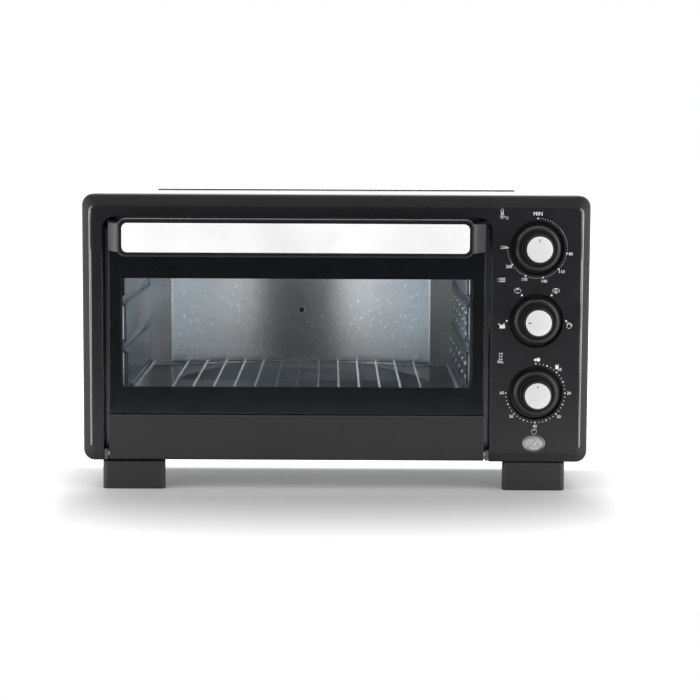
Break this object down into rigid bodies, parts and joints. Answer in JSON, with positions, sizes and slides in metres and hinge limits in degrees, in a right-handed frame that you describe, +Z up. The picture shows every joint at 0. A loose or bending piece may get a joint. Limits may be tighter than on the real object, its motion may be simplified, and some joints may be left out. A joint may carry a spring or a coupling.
{
  "type": "toaster oven",
  "caption": "Counter-top toaster oven with a drop-down glass door, bar handle, side dial panel, wire rack and pull-out crumb tray.",
  "frame": {"origin": "centre of the underside of the whole outline, on the surface the feet stand on", "axes": "+X to the right seen from the front, +Y to the back, +Z up; the door and dials face -Y"},
  "size_m": [0.45, 0.37, 0.264],
  "materials": {
    "frame_plastic": "fine satin black",
    "black_paint": "satin black paint",
    "foot_plastic": "satin black",
    "galvanised": "dull galvanised",
    "aluminised": "aluminised, soft sheen",
    "heater_metal": "heat-darkened metal sheath",
    "ceramic_white": "unglazed white ceramic",
    "zinc_steel": "bright zinc plate",
    "control_plastic": "cream moulding",
    "copper_tube": "drawn copper",
    "bell_brass": "dull brass",
    "lens_plastic": "frosted",
    "neon_glass": "clear glass with an orange tint",
    "gland_rubber": "matte black",
    "door_enamel": "black enamel",
    "door_glass": "clear window with a fired black border",
    "door_plastic": "satin dark grey",
    "handle_plastic": "satin black",
    "polished_steel": "polished stainless steel",
    "bracket_plastic": "satin dark grey",
    "dial_plastic": "semi-gloss black",
    "dial_cap": "satin silver",
    "chrome_wire": "bright chrome plate"
  },
  "bodies": {
    "oven": {"front_frame": "frame_plastic", "wrapper": "black_paint", "rear_cover": "black_paint", "foot_front_left": "foot_plastic", "foot_front_right": "foot_plastic", "foot_rear_left": "foot_plastic", "foot_rear_right": "foot_plastic", "wall_spacers": "foot_plastic", "base_plate": "galvanised", "heat_shield": "galvanised", "front_flange": "galvanised", "switch_bracket": "galvanised", "left_wall": "aluminised", "right_wall": "aluminised", "ceiling": "aluminised", "cavity_floor": "aluminised", "cavity_back": "aluminised", "heater_upper_front": "heater_metal", "heater_upper_rear": "heater_metal", "heater_lower_front": "heater_metal", "heater_lower_rear": "heater_metal", "heater_insulators": "ceramic_white", "bracket_screws": "zinc_steel", "cover_screws": "zinc_steel", "hinge_bracket_left": "zinc_steel", "hinge_bracket_right": "zinc_steel", "hinge_spring_left": "zinc_steel", "hinge_spring_right": "zinc_steel", "timer": "zinc_steel", "thermostat": "control_plastic", "function_switch": "control_plastic", "terminal_block": "control_plastic", "thermostat_probe": "copper_tube", "timer_bell": "bell_brass", "indicator_lens": "lens_plastic", "indicator_lamp": "neon_glass", "cord_gland": "gland_rubber"},
    "door": {"door_frame": "door_enamel", "door_glass": "door_glass", "door_panel": "door_plastic", "handle_bar": "handle_plastic", "handle_plate": "polished_steel", "handle_bracket_left": "bracket_plastic", "handle_bracket_right": "bracket_plastic", "handle_screws": "zinc_steel", "hinge_pin_left": "zinc_steel", "hinge_pin_right": "zinc_steel", "hinge_arm_left": "zinc_steel", "hinge_arm_right": "zinc_steel"},
    "thermostat_dial": {"thermostat_knob": "dial_plastic", "thermostat_cap": "dial_cap", "thermostat_shaft": "zinc_steel"},
    "function_dial": {"function_knob": "dial_plastic", "function_cap": "dial_cap", "function_shaft": "zinc_steel"},
    "timer_dial": {"timer_knob": "dial_plastic", "timer_cap": "dial_cap", "timer_shaft": "zinc_steel"},
    "rack": {"rack": "chrome_wire"},
    "crumb_tray": {"crumb_tray": "aluminised"}
  },
  "joints": [
    {"name": "door_hinge", "type": "hinge", "parent": "oven", "child": "door", "pos_m": [-0.0346, -0.1395, 0.0322], "axis": [1, 0, 0], "range_deg": [0, 80]},
    {"name": "rack_slide", "type": "slide", "parent": "oven", "child": "rack", "axis": [0, -1, 0], "range_m": [0, 0.052]},
    {"name": "tray_slide", "type": "slide", "parent": "oven", "child": "crumb_tray", "axis": [0, 1, 0], "range_m": [0, 0.2]},
    {"name": "thermostat_turn", "type": "hinge", "parent": "oven", "child": "thermostat_dial", "pos_m": [0.178, -0.145, 0.2176], "axis": [0, 1, 0], "range_deg": [0, 271]},
    {"name": "function_turn", "type": "hinge", "parent": "oven", "child": "function_dial", "pos_m": [0.178, -0.145, 0.1531], "axis": [0, 1, 0], "range_deg": [0, 180]},
    {"name": "timer_turn", "type": "hinge", "parent": "oven", "child": "timer_dial", "pos_m": [0.178, -0.145, 0.0886], "axis": [0, 1, 0], "range_deg": [0, 270]}
  ],
  "couplings": [
    {"joint": "rack_slide", "follows": "door_hinge", "m_per_rad": 0.03724}
  ]
}
